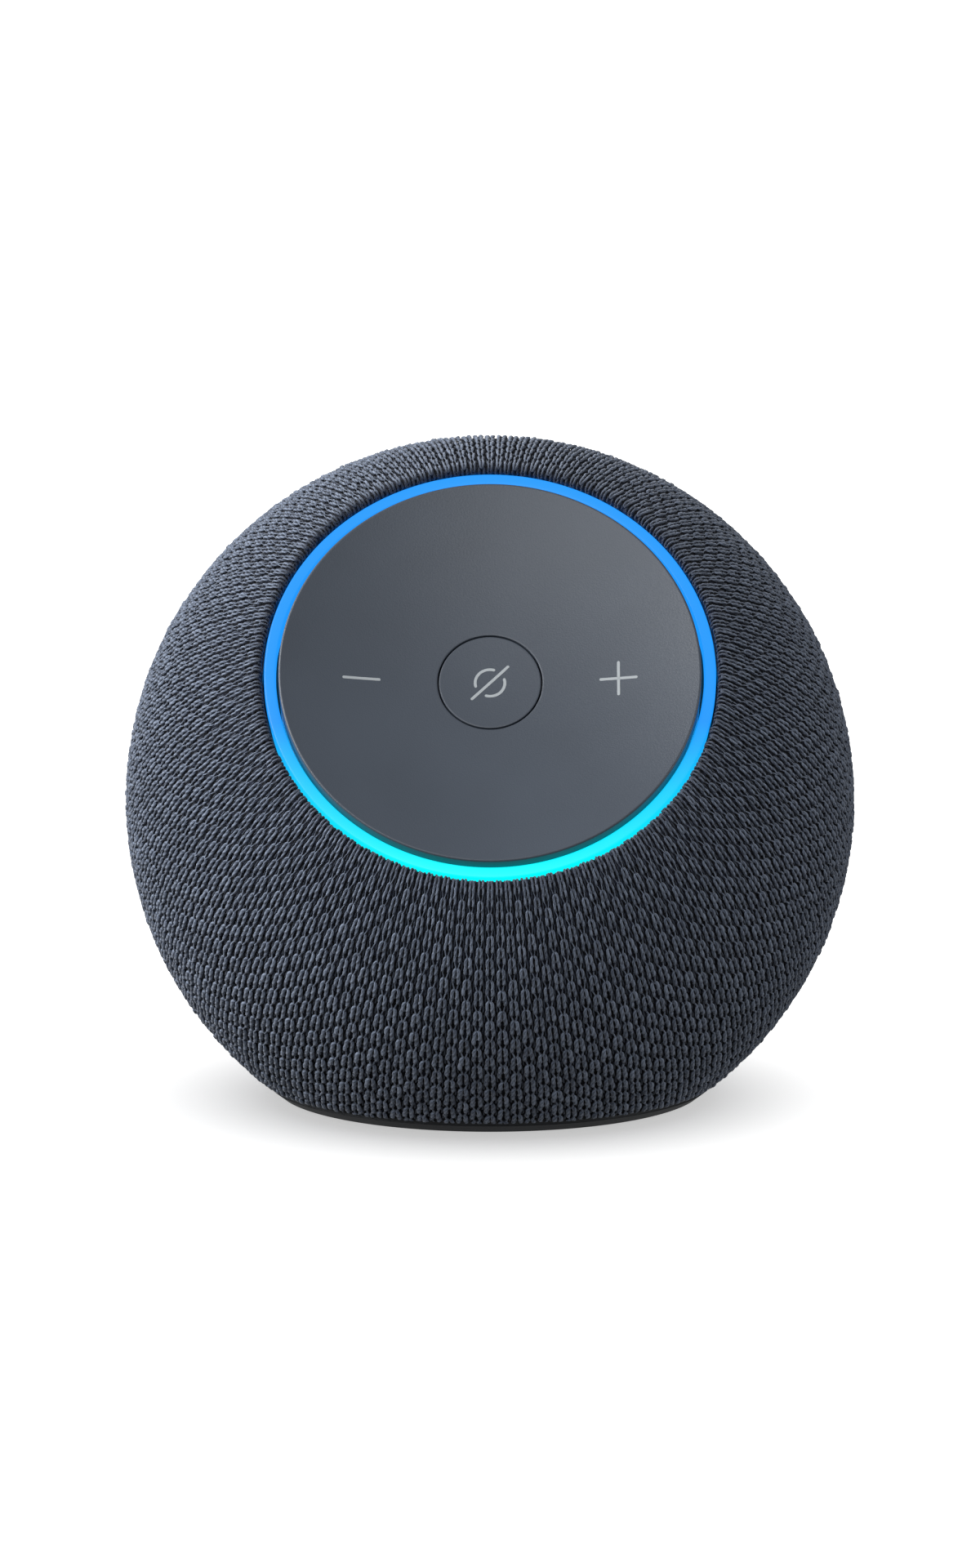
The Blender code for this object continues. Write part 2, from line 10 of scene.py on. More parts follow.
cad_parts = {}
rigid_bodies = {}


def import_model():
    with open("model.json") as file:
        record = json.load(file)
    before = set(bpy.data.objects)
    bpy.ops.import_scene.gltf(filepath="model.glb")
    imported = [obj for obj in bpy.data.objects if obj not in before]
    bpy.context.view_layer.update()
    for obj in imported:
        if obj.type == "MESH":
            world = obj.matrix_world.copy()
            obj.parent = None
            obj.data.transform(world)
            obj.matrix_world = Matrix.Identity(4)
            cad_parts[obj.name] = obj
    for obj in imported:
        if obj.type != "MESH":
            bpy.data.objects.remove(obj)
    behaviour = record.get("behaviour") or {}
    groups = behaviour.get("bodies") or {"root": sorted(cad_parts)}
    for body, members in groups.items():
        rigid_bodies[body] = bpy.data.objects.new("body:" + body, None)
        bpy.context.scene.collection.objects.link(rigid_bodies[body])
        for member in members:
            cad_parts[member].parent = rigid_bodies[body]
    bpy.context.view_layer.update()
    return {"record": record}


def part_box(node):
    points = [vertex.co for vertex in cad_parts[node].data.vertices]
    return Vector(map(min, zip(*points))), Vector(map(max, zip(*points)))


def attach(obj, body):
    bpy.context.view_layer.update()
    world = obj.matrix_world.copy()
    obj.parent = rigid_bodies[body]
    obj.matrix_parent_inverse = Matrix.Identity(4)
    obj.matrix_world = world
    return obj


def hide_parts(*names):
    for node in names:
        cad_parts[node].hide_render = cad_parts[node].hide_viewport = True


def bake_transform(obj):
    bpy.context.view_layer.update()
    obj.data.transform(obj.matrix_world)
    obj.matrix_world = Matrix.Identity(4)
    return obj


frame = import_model()

MM = 0.001
JOINTS = {joint["name"]: joint for joint in frame["record"]["behaviour"]["joints"]}

# ---- the control face's own frame: X across, U up along the face, N out of it ----

PIVOT_H = 37.2  # height of the plate's hinge over the ball's centre
N = -np.array(JOINTS["mute_press"]["axis"])
U = np.array(JOINTS["volume_rocker"]["axis"])
X = np.cross(U, N)
BALL = np.array(JOINTS["volume_rocker"]["pos_m"]) / MM - PIVOT_H * N  # the ball's centre


def cad_points(node):
    """The vertices of a CAD node as (radius, height) about the face's axis, in millimetres."""
    mesh = bpy.data.objects[node].data
    points = np.empty(len(mesh.vertices) * 3)
    mesh.vertices.foreach_get("co", points)
    points = points.reshape(-1, 3) / MM - BALL
    height = points @ N
    return np.hypot(points @ X, points @ U), height


def corners_mm(node):
    """The lowest and highest corners of a CAD node, in millimetres."""
    return (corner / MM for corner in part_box(node))


COVER_LOW, COVER_HIGH = corners_mm("fabric_cover")
BALL_R = (COVER_HIGH.x - COVER_LOW.x) / 2
HEM_Z = COVER_LOW.z + 0.8  # the cloth is turned in a little above the CAD cover's hem
radii, heights = cad_points("fabric_cover")
MOUTH_R = radii[heights > 0].min()
radii, heights = cad_points("face_plate")
PLATE_R, PLATE_RIM = radii.max(), heights.max()
RING_FOOT_H = 40  # the ring's foot, under its lit face, lies below this height
radii, heights = cad_points("light_ring")
RING_OUT, RING_IN, RING_TOP = radii.max(), radii[heights > RING_FOOT_H].min(), heights.max()
MUTE_FLANGE_H = 37.5  # the button's hidden flange lies below this height
radii, heights = cad_points("mute_button")
MUTE_R, MUTE_FLANGE_R = radii[heights > MUTE_FLANGE_H].max(), radii.max()

DISH_DEPTH = 4.0  # how far the control face's middle lies below its rim
PLATE_EDGE = 0.7  # the hollow starts this far inside the plate's outer edge
DISH_R = ((PLATE_R - PLATE_EDGE) ** 2 + DISH_DEPTH**2) / (2 * DISH_DEPTH)
KEY_X = 18.6  # minus and plus sit this far from the middle
PORT_LOW, PORT_HIGH = corners_mm("port_bezel")
PORT_Z = (PORT_LOW.z + PORT_HIGH.z) / 2
PORT_R = (PORT_HIGH.x - PORT_LOW.x) / 2
PORT_BALL_R = math.hypot(PORT_HIGH.y, PORT_Z + PORT_R - BALL[2])  # the lip's distance to the centre


def face_point(x, u, n):
    """A place in the control face's frame, in world metres."""
    return (BALL + x * X + u * U + n * N) * MM


def dish(radius):
    """Height of the control face's hollow surface at a radius."""
    return PLATE_RIM - DISH_DEPTH + DISH_R - np.sqrt(DISH_R**2 - radius**2)


# ---- materials ----


class Paint:
    """A Principled material and the nodes added to it."""

    def __init__(self, name, colour, roughness, metallic=0.0):
        self.material = bpy.data.materials.new(name)
        self.material.use_nodes = True
        self.tree = self.material.node_tree
        self.shader = self.tree.nodes["Principled BSDF"]
        self.set("Base Color", (*colour, 1))
        self.set("Roughness", roughness)
        self.set("Metallic", metallic)
        self.where = self.node("ShaderNodeTexCoord").outputs["Object"]

    def set(self, name, value):
        self.shader.inputs[name].default_value = value

    def node(self, kind, **values):
        made = self.tree.nodes.new(kind)
        for name, value in values.items():
            setattr(made, name, value)
        return made

    def link(self, output, target):
        self.tree.links.new(output, target)

    def noise(self, scale, detail=3.0):
        """Noise in the object's own place; scale is in repeats per metre."""
        noise = self.node("ShaderNodeTexNoise")
        noise.inputs["Scale"].default_value = scale
        noise.inputs["Detail"].default_value = detail
        self.link(self.where, noise.inputs["Vector"])
        return noise.outputs["Fac"]

    def scaled(self, value, factor, more=None):
        """The socket value * factor + more."""
        step = self.node("ShaderNodeMath", operation="MULTIPLY_ADD")
        step.inputs[1].default_value = factor
        step.inputs[2].default_value = 0
        self.link(value, step.inputs[0])
        if more:
            self.link(more, step.inputs[2])
        return step.outputs["Value"]

    def ramp(self, factor, stops):
        """Colours at places between 0 and 1, picked by a factor."""
        ramp = self.node("ShaderNodeValToRGB")
        for index, (place, colour) in enumerate(stops):
            if index < 2:
                stop = ramp.color_ramp.elements[index]
            else:
                stop = ramp.color_ramp.elements.new(place)
            stop.position = place
            stop.color = (*colour, 1)
        self.link(factor, ramp.inputs["Fac"])
        return ramp.outputs["Color"]

    def bump(self, height, strength, distance):
        """Relief from a height between 0 and 1; distance is its depth in metres."""
        bump = self.node("ShaderNodeBump")
        bump.inputs["Strength"].default_value = strength
        bump.inputs["Distance"].default_value = distance
        self.link(height, bump.inputs["Height"])
        self.link(bump.outputs["Normal"], self.shader.inputs["Normal"])

    def vary_roughness(self, factor, low, high):
        """Roughness that runs from low to high with a factor between 0 and 1."""
        spread = self.node("ShaderNodeMapRange")
        spread.inputs["To Min"].default_value = low
        spread.inputs["To Max"].default_value = high
        self.link(factor, spread.inputs["Value"])
        self.link(spread.outputs["Result"], self.shader.inputs["Roughness"])


def shade(colour, factor):
    """A colour made darker or lighter."""
    return tuple(channel * factor for channel in colour)


def grained(name, colour, roughness, metallic=0.0, scale=2500, bump=0.15, spread=0.12):
    """A moulded or metal surface: fine grain in its height, roughness and tone."""
    paint = Paint(name, colour, roughness, metallic)
    fine, broad = paint.noise(scale), paint.noise(scale / 40, 2)
    tones = [(0.3, shade(colour, 1 - spread)), (0.7, shade(colour, 1 + spread))]
    paint.link(paint.ramp(broad, tones), paint.shader.inputs["Base Color"])
    paint.vary_roughness(fine, roughness - 0.08, min(1, roughness + 0.08))
    paint.bump(fine, bump, 0.00005)
    return paint.material


def yarn_material():
    """Spun polyester: each strand has its own tone and painted shade, with twisted plies and fine
    fibres.
    """
    dark, middle, light = (0.008, 0.011, 0.02), (0.068, 0.086, 0.125), (0.2, 0.24, 0.32)
    paint = Paint("yarn", middle, 0.8)
    paint.set("Sheen Weight", 0.2)
    paint.set("Sheen Roughness", 0.5)
    paint.set("Specular IOR Level", 0.3)
    # the tone attribute holds each strand's own tone, darkened by painted shade in the recess and
    # deep gaps
    tone = paint.node("ShaderNodeAttribute", attribute_name="tone")
    ply = paint.node("ShaderNodeAttribute", attribute_name="ply")
    turns = paint.scaled(ply.outputs["Fac"], 2 * math.pi)
    wave = paint.node("ShaderNodeMath", operation="SINE")
    paint.link(turns, wave.inputs[0])
    fibres = paint.noise(4600, 5)
    relief = paint.scaled(wave.outputs["Value"], 0.25, fibres)
    level = paint.scaled(relief, 0.6, tone.outputs["Fac"])
    stops = [(0.1, dark), (0.65, middle), (1.0, light)]
    paint.link(paint.ramp(level, stops), paint.shader.inputs["Base Color"])
    paint.bump(relief, 0.6, 0.00008)
    return paint.material


def backing_material():
    """The knit's inside, seen between the stitches: a cloth with a weave, painted near black for
    the shade deep in the gaps.
    """
    # painted shade: near black, for the shadow deep between the stitches
    colour = (0.007, 0.009, 0.016)
    paint = Paint("knit_inside", colour, 0.95)
    weave = paint.noise(1800, 2)
    stops = [(0.35, shade(colour, 0.3)), (0.5, colour), (0.65, shade(colour, 4))]
    paint.link(paint.ramp(weave, stops), paint.shader.inputs["Base Color"])
    paint.bump(weave, 0.6, 0.0002)
    return paint.material


def glow_material():
    """The lit ring: blue over the top and sides, turning to cyan along the bottom."""
    blue, cyan = (0.012, 0.315, 1.0), (0.0, 0.97, 1.0)
    paint = Paint("ring_glow", (0.012, 0.03, 0.05), 0.35)
    paint.set("Specular IOR Level", 0.25)
    paint.set("Emission Strength", 1.0)
    split = paint.node("ShaderNodeSeparateXYZ")
    paint.link(paint.where, split.inputs["Vector"])
    top = face_point(0, RING_OUT, RING_TOP)[2]
    bottom = face_point(0, -RING_OUT, RING_TOP)[2]
    place = paint.node("ShaderNodeMapRange")
    place.inputs["From Min"].default_value = bottom
    place.inputs["From Max"].default_value = top
    paint.link(split.outputs["Z"], place.inputs["Value"])
    mottled = paint.scaled(paint.noise(300, 2), 0.03, place.outputs["Result"])
    colour = paint.ramp(mottled, [(0.04, cyan), (0.39, blue)])
    paint.link(colour, paint.shader.inputs["Emission Color"])
    return paint.material


def plate_material():
    """The control face's dark plastic, with a fine spark-eroded grain."""
    colour = (0.054, 0.066, 0.086)
    paint = Paint("face_plastic", colour, 0.42)
    grain, cloud = paint.noise(4200, 5), paint.noise(60, 2)
    stops = [(0.3, shade(colour, 0.94)), (0.75, shade(colour, 1.06))]
    paint.link(paint.ramp(cloud, stops), paint.shader.inputs["Base Color"])
    paint.vary_roughness(grain, 0.36, 0.46)
    paint.bump(grain, 0.35, 0.00007)
    return paint.material


# ---- meshes ----


def new_piece(name, points, faces, material, body, smooth=True):
    """A mesh object from points in metres, riding on a CAD body."""
    mesh = bpy.data.meshes.new(name)
    mesh.from_pydata([tuple(point) for point in points], [], faces)
    mesh.materials.append(material)
    if smooth:
        mesh.shade_smooth()
        mesh.set_sharp_from_angle(angle=math.radians(40))
    piece = bpy.data.objects.new(name, mesh)
    bpy.context.collection.objects.link(piece)
    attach(piece, body)
    return piece


def face_frame(radius, turn, height):
    """A place about the control face's axis."""
    return face_point(radius * math.cos(turn), radius * math.sin(turn), height)


def floor_frame(radius, turn, height):
    """A place about the upright axis."""
    return np.array((radius * math.cos(turn), radius * math.sin(turn), height)) * MM


def turned(name, outline, material, body, place=face_frame, sides=192):
    """A closed solid turned from (radius, height) points; a radius of 0 closes it at the axis."""
    points, rings, faces = [], [], []
    for radius, height in outline:
        count = sides if radius > 0 else 1
        rings.append(range(len(points), len(points) + count))
        points += [place(radius, 2 * math.pi * i / sides, height) for i in range(count)]
    for ring, after in zip(rings, rings[1:] + rings[:1]):
        for i in range(sides):
            corners = [ring[i % len(ring)], ring[(i + 1) % sides % len(ring)]]
            corners += [after[(i + 1) % sides % len(after)], after[i % len(after)]]
            face = list(dict.fromkeys(corners))
            if len(face) > 2:
                faces.append(face)
    piece = new_piece(name, points, faces, material, body)
    outward(piece.data)
    return piece


def outward(mesh):
    """Turn a closed mesh's faces outward."""
    work = bmesh.new()
    work.from_mesh(mesh)
    bmesh.ops.recalc_face_normals(work, faces=work.faces)
    work.to_mesh(mesh)
    work.free()


def fillet(corner, radius, start, stop, steps=4):
    """Points of a rounded edge: its centre, its radius and the angles that it runs through."""
    turns = [math.radians(start + (stop - start) * i / steps) for i in range(steps + 1)]
    return [(corner[0] + radius * math.cos(t), corner[1] + radius * math.sin(t)) for t in turns]


# ---- the knitted cover ----

YARN_DEPTH = 0.32  # how far the yarns' middle lies under the ball's outline
LIP = 0.42  # radius of the cover's turn into the ring's recess
WALES = 170  # columns of stitches around the mouth
PERIOD = 3.6  # length of one repeat along a column
NARROWEST = 1.4  # columns end at the back where they'd be narrower than this
POLE = 5.0  # the knit stops this far from the middle of the back, behind the power inlet
SECTORS = 14  # the knit is cut into this many pieces about the face's axis
UNEVEN = (0.012, 0.02, 0.05, 0.06)  # how much yarns differ: along, across, in depth, in thickness
FRONT_PITCH = 1.3  # a column's width near the mouth, in mm
FLATNESS = 0.8  # a yarn's height over its width
PLY_TWIST = 3.2  # turns of the plies in a yarn as long as a column is wide
PLIES = 3

# One repeat of the knit. Each yarn is (across, along, depth, thickness) at points along it:
# across and thickness in columns' widths, along in repeats, depth in millimetres. The first four
# are mirrored to both sides of each column; the loops after them close the knit at the lip.
LONG_STITCH = [(0.05, -0.05, -0.12, 0.09), (0.14, -0.02, 0.03, 0.125), (0.2, 0.07, 0.09, 0.138),
               (0.215, 0.19, 0.12, 0.142), (0.195, 0.31, 0.1, 0.138), (0.13, 0.4, -0.04, 0.115),
               (0.08, 0.46, -0.28, 0.06)]
SHORT_STITCH = [(0.17, 0.22, -0.34, 0.08), (0.21, 0.33, -0.1, 0.12), (0.235, 0.44, 0.02, 0.142),
                (0.245, 0.55, 0.05, 0.148), (0.225, 0.66, -0.02, 0.13), (0.18, 0.74, -0.32, 0.07)]
THIN_STITCH = [(0.3, 0.58, -0.3, 0.05), (0.24, 0.68, -0.02, 0.064), (0.16, 0.81, 0.06, 0.07),
               (0.09, 0.95, 0.08, 0.064), (0.03, 1.04, -0.05, 0.045)]
SIDE_YARN = [(0.37, 0.6, -0.42, 0.05), (0.41, 0.76, -0.26, 0.07), (0.41, 0.94, -0.26, 0.07),
             (0.36, 1.1, -0.45, 0.05)]
HEAD = [(-0.2, 0.12, 0.0, 0.12), (-0.21, 0.0, 0.1, 0.14), (-0.2, -0.22, 0.1, 0.15),
        (-0.13, -0.35, 0.08, 0.15), (0.0, -0.4, 0.04, 0.15), (0.13, -0.35, 0.08, 0.15),
        (0.2, -0.22, 0.1, 0.15), (0.21, 0.0, 0.1, 0.14), (0.2, 0.12, 0.0, 0.12)]
COLLAR = [(-0.27, 0.04, -0.3, 0.12), (-0.24, -0.06, 0.02, 0.15), (-0.15, -0.16, 0.1, 0.17),
          (0.0, -0.2, 0.1, 0.18), (0.15, -0.16, 0.1, 0.17), (0.24, -0.06, 0.02, 0.15),
          (0.27, 0.04, -0.3, 0.12)]
INNER_LOOP = [(-0.27, -0.16, -0.1, 0.12), (-0.28, -0.3, 0.04, 0.14), (-0.17, -0.42, 0.04, 0.15),
              (0.0, -0.46, 0.0, 0.15), (0.17, -0.42, 0.04, 0.15), (0.28, -0.3, 0.04, 0.14),
              (0.27, -0.16, -0.1, 0.12)]
LATE_LOOP = [(-0.26, -0.36, -0.1, 0.13), (-0.29, -0.54, 0.02, 0.15), (-0.28, -0.72, 0.04, 0.15),
             (0.0, -0.92, 0.0, 0.15), (0.28, -0.72, 0.04, 0.15), (0.29, -0.54, 0.02, 0.15),
             (0.26, -0.36, -0.1, 0.13)]
# Each mirrored yarn with its rings and sides.
YARNS = ((LONG_STITCH, 9, 6), (SHORT_STITCH, 7, 6), (THIN_STITCH, 6, 4), (SIDE_YARN, 4, 4))
FIRST_LOOP = 1.9  # the even columns' first loops lie here along the outline, at the lip
LATE_LOOP_AT = FIRST_LOOP + PERIOD / 2  # the odd columns' first loops
# Each loop with its place along the outline, its rings and its sides.
LIP_LOOPS = ((HEAD, LATE_LOOP_AT, 13, 6), (LATE_LOOP, LATE_LOOP_AT, 13, 6),
             (COLLAR, FIRST_LOOP, 13, 6), (INNER_LOOP, FIRST_LOOP, 13, 6))


def smooth(template, rings):
    """A yarn's points run through a smooth curve."""
    shape = np.array(template)
    padded = np.concatenate([2 * shape[:1] - shape[1:2], shape, 2 * shape[-1:] - shape[-2:-1]])
    spot = np.linspace(0, len(shape) - 1, rings)
    whole = np.minimum(spot.astype(int), len(shape) - 2)
    t = (spot - whole)[:, None]
    before, here, after, beyond = (padded[whole + k] for k in range(4))
    bend = 2 * before - 5 * here + 4 * after - beyond
    curl = 3 * (here - after) + beyond - before
    return here + 0.5 * t * (after - before + t * (bend + t * curl))


def cover_profile(depth):
    """The cover's outline about the face's axis, from inside the recess to the back.

    It lies deeper than the ball's surface by the given depth in mm.
    """
    ball = BALL_R - depth
    wall = MOUTH_R + 0.15 + depth * 0.2
    lip_r = LIP + 0.2 - depth * 0.2
    centre_r = wall + lip_r
    centre_h = math.sqrt((ball - lip_r) ** 2 - centre_r**2)
    join = math.degrees(math.atan2(centre_h, centre_r))
    points = [(wall, centre_h - 1.6), (wall, centre_h - 0.8)]
    points += fillet((centre_r, centre_h), lip_r, 180, join, 12)
    start = math.pi / 2 - math.radians(join)
    turns = np.linspace(start, math.pi, 260)[1:]
    points += [(ball * math.sin(t), ball * math.cos(t)) for t in turns]
    return np.array(points)


# The outline's points, their lengths along it, and its outward direction at each.
PROFILE = cover_profile(YARN_DEPTH)
STEPS = np.hypot(*np.diff(PROFILE, axis=0).T)
ALONG = np.concatenate([[0], np.cumsum(STEPS)])
SLOPE = np.gradient(PROFILE, ALONG, axis=0)
SLOPE /= np.hypot(*SLOPE.T)[:, None]
OUTWARD = np.stack([-SLOPE[:, 1], SLOPE[:, 0]], axis=1)
if (OUTWARD[-60] * PROFILE[-60]).sum() < 0:  # it points to the ball's centre
    OUTWARD = -OUTWARD


def on_cover(turn, along, depth):
    """Places on the cover, and its outward direction there, for arrays of coordinates."""
    radius, height = (np.interp(along, ALONG, PROFILE[:, k]) for k in (0, 1))
    out_r, out_h = (np.interp(along, ALONG, OUTWARD[:, k]) for k in (0, 1))
    across = np.cos(turn)[..., None] * X + np.sin(turn)[..., None] * U
    normal = out_r[..., None] * across + out_h[..., None] * N
    centre = BALL + radius[..., None] * across + height[..., None] * N
    return centre + depth[..., None] * normal, normal


def cells():
    """Each repeat of the knit: turn, start along the outline, width in turn, length along.

    Towards the back the columns crowd, so about every third one ends where they get too narrow.
    There the odd columns start a row early, which fills the gap at the step.
    """
    found = []
    full = ALONG[-1]
    wales, start = WALES, FIRST_LOOP - PERIOD
    while start < full - POLE:
        narrow = math.asin(wales * NARROWEST / (2 * math.pi * BALL_R))
        end = min(full - narrow * BALL_R, full - POLE)
        rows = max(1, int(round((end - start) / PERIOD)))
        period = (end - start) / rows
        for wale in range(wales):
            turn = 2 * math.pi * (wale + 0.5) / wales
            drop = 0.5 * period * (wale % 2)
            early = wale % 2 if wales < WALES else 0
            for row in range(-early, rows):
                found.append((turn, start + row * period + drop, 2 * math.pi / wales, period))
        wales, start = 2 * int(wales / 3), end
    return np.array(found)


def yarns(shape, mirror, spots, sides, random):
    """Tubes along one yarn of the repeat, in every cell: vertices, tones with painted shade and
    middle lines.

    Where the columns are wider, the yarns spread, sink and thicken a little.
    """
    count = len(spots)
    turn0, along0, width, period = (spots[:, k, None] for k in range(4))
    jitter = random.normal(0, 1, (count, 4))
    shift, sway, sink, swell = (UNEVEN[k] * jitter[:, k, None] for k in range(4))
    along = along0 + (shape[None, :, 1] + shift) * period
    radius = np.interp(along, ALONG, PROFILE[:, 0])
    pitch = np.maximum(radius * width, 0.5)
    spread = 1 + 0.17 * np.clip(pitch - FRONT_PITCH, 0, 0.7)
    across = mirror * spread * (shape[None, :, 0] + sway)
    turn = turn0 + across * width
    depth = shape[None, :, 2] + sink - 0.1 * (pitch - FRONT_PITCH)
    thick = shape[None, :, 3] * pitch * (0.42 + 0.4 * pitch) * (1 + swell)
    centre, normal = on_cover(turn, along, depth)
    ahead = np.gradient(centre, axis=1)
    ahead /= np.linalg.norm(ahead, axis=2, keepdims=True)
    side = np.cross(ahead, normal)
    side /= np.linalg.norm(side, axis=2, keepdims=True)
    up = np.cross(side, ahead)
    angles = 2 * np.pi * (np.arange(sides) + 0.5) / sides - np.pi / 2
    ring = (np.cos(angles)[:, None] * side[:, :, None]
            + FLATNESS * np.sin(angles)[:, None] * up[:, :, None])
    points = centre[:, :, None] + thick[:, :, None, None] * ring
    # At the hem the yarns are drawn in under the edge.
    tuck = np.clip(1 - (points[..., 2] - HEM_Z) / 0.7, 0, 1)
    points[..., :2] *= 1 - 0.5 * tuck[..., None] ** 2 / BALL_R
    points[..., 2] = np.maximum(points[..., 2], HEM_Z + 0.12)
    # Painted shade: yarns are darkened down in the ring's recess and where they lie deep between
    # the stitches.
    painted_recess_shade = np.clip((along - 1.7) / 1.5, 0, 1)
    tone = np.clip(0.5 + 0.07 * random.normal(0, 1, (count, 1)), 0, 1) * painted_recess_shade
    tone = tone * (1 - 0.8 * np.clip(-depth / 0.4, 0, 1))
    return points.reshape(count, -1, 3), np.repeat(tone, sides, axis=1), centre


def tube_faces(rings, sides):
    """The quads of a tube, as numbers of its vertices."""
    faces = []
    for ring in range(rings - 1):
        for k in range(sides):
            after = (k + 1) % sides
            low, high = ring * sides, (ring + 1) * sides
            faces.append((low + k, low + after, high + after, high + k))
    return np.array(faces)


def ply_phase(shape, sides):
    """How far round the twisted plies have come at each vertex; the seam is underneath."""
    run = np.concatenate([[0], np.cumsum(np.hypot(*np.diff(shape[:, :2], axis=0).T))])
    return (PLY_TWIST * run[:, None] + PLIES * np.arange(sides)[None] / sides).ravel()


def tube_uv(rings, sides):
    """Each face corner's place in its yarn's own square of the map, with a margin round it."""
    margin = 0.05
    corners = []
    for ring in range(rings - 1):
        for k in range(sides):
            u0, u1 = k / sides, (k + 1) / sides
            v0, v1 = ring / (rings - 1), (ring + 1) / (rings - 1)
            corners += [(u0, v0), (u1, v0), (u1, v1), (u0, v1)]
    return np.array(corners) * (1 - 2 * margin) + margin


def outside_port(points):
    """True for yarns that are clear of the power inlet's bezel and reach above the hem."""
    beyond = np.hypot(points[..., 0], points[..., 2] - PORT_Z) > PORT_R + 0.5
    return (beyond | (points[..., 1] < 0)).all(axis=1) & (points[..., 2].max(axis=1) > HEM_Z + 0.4)


def knit(material):
    """Every yarn of the cover, in sectors about the face's axis."""
    random = np.random.default_rng(11)
    spots = cells()
    order = np.floor((spots[:, 0] / (2 * math.pi)) * SECTORS).astype(int) % SECTORS
    same_row = 0.3
    pieces = []
    for sector in range(SECTORS):
        chosen = spots[(order == sector) & (spots[:, 1] > FIRST_LOOP - PERIOD / 2 + same_row)]
        points, faces, tones, maps, plies, base = [], [], [], [], [], 0
        jobs = [(smooth(template, rings), sides, mirror, chosen)
                for template, rings, sides in YARNS for mirror in (-1, 1)]
        for template, along, rings, sides in LIP_LOOPS:
            first = np.abs(chosen[:, 1] - along) < same_row
            jobs.append((smooth(template, rings), sides, 1, chosen[first]))
        for shape, sides, mirror, places in jobs:
            tube, tone, middle = yarns(shape, mirror, places, sides, random)
            keep = outside_port(middle)
            tube, tone = tube[keep], tone[keep]
            count, size = tube.shape[:2]
            starts = base + size * np.arange(count)
            quads = tube_faces(len(shape), sides)
            faces.append((starts[:, None, None] + quads[None]).reshape(-1, 4))
            points.append(tube.reshape(-1, 3))
            tones.append(tone.reshape(-1))
            maps.append((count, tube_uv(len(shape), sides)))
            plies.append(np.tile(ply_phase(shape, sides), count))
            base += size * count
        pieces.append(knit_piece(f"knit_{sector + 1}", points, faces, tones, maps, plies, material))
    return pieces


def knit_piece(name, points, faces, tones, maps, plies, material):
    """One mesh of many yarns, with their tones and painted shade, plies and places on the map."""
    points = np.concatenate(points) * MM
    faces = np.concatenate(faces)
    mesh = bpy.data.meshes.new(name)
    mesh.vertices.add(len(points))
    mesh.vertices.foreach_set("co", points.ravel())
    mesh.loops.add(faces.size)
    mesh.loops.foreach_set("vertex_index", faces.ravel())
    mesh.polygons.add(len(faces))
    mesh.polygons.foreach_set("loop_start", np.arange(0, faces.size, 4))
    mesh.update(calc_edges=True)
    # tone carries each yarn's own tone with its painted shade
    tone = mesh.attributes.new("tone", "FLOAT", "POINT")
    tone.data.foreach_set("value", np.concatenate(tones))
    ply = mesh.attributes.new("ply", "FLOAT", "POINT")
    ply.data.foreach_set("value", np.concatenate(plies))
    grid = math.ceil(math.sqrt(sum(count for count, _ in maps)))
    squares, first = [], 0
    for count, corners in maps:
        number = first + np.arange(count)
        origin = np.stack([number % grid, number // grid], axis=1)
        squares.append(((origin[:, None] + corners[None]) / grid).reshape(-1, 2))
        first += count
    layer = mesh.uv_layers.new(name="OFBake")
    layer.data.foreach_set("uv", np.concatenate(squares).ravel())
    mesh.materials.append(material)
    mesh.shade_smooth()
    piece = bpy.data.objects.new(name, mesh)
    bpy.context.collection.objects.link(piece)
    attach(piece, "housing")
    return piece


def cut(piece, build):
    """Cut away a shape that build adds to an empty mesh."""
    mesh = bpy.data.meshes.new("cutter")
    work = bmesh.new()
    build(work)
    work.to_mesh(mesh)
    work.free()
    tool = bpy.data.objects.new("cutter", mesh)
    bpy.context.collection.objects.link(tool)
    modifier = piece.modifiers.new("cut", "BOOLEAN")
    modifier.object = tool
    modifier.solver = "EXACT"
    graph = bpy.context.evaluated_depsgraph_get()
    result = bpy.data.meshes.new_from_object(piece.evaluated_get(graph))
    piece.modifiers.clear()
    piece.data = result
    bpy.data.objects.remove(tool, do_unlink=True)


def backing(material):
    """The cloth that the stitches stand on, closed at the hem and open at the port."""
    depth, lip_depth, inner_scale = 1.0, 0.6, 0.9955
    near, deep = cover_profile(lip_depth), cover_profile(depth)
    ease = np.clip((np.arange(len(near)) - 14) / 8, 0, 1)[:, None]  # starts just past the lip
    outline = [tuple(point) for point in ((1 - ease) * near + ease * deep)[:-1:4]]
    inner = [(radius * inner_scale, height * inner_scale) for radius, height in reversed(outline)]
    back = [(0, -(BALL_R - depth)), (0, -(BALL_R - depth) * inner_scale)]
    cloth = turned("cover_backing", outline + back + inner, material, "housing", sides=144)
    height = 0.1
    middle = Matrix.Translation((0, 0, HEM_Z * MM - height / 2 + 0.00005))
    below_hem = middle @ Matrix.Diagonal((2 * height, 2 * height, height, 1))
    cut(cloth, lambda work: bmesh.ops.create_cube(work, size=1, matrix=below_hem))
    through_back = Matrix.Translation((0, 0.05, PORT_Z * MM)) @ Matrix.Rotation(math.pi / 2, 4, "X")
    port_r = (PORT_R + 0.2) * MM
    cut(cloth, lambda work: bmesh.ops.create_cone(
        work, cap_ends=True, segments=64, radius1=port_r, radius2=port_r, depth=0.03,
        matrix=through_back))
    return cloth


# ---- the control face ----


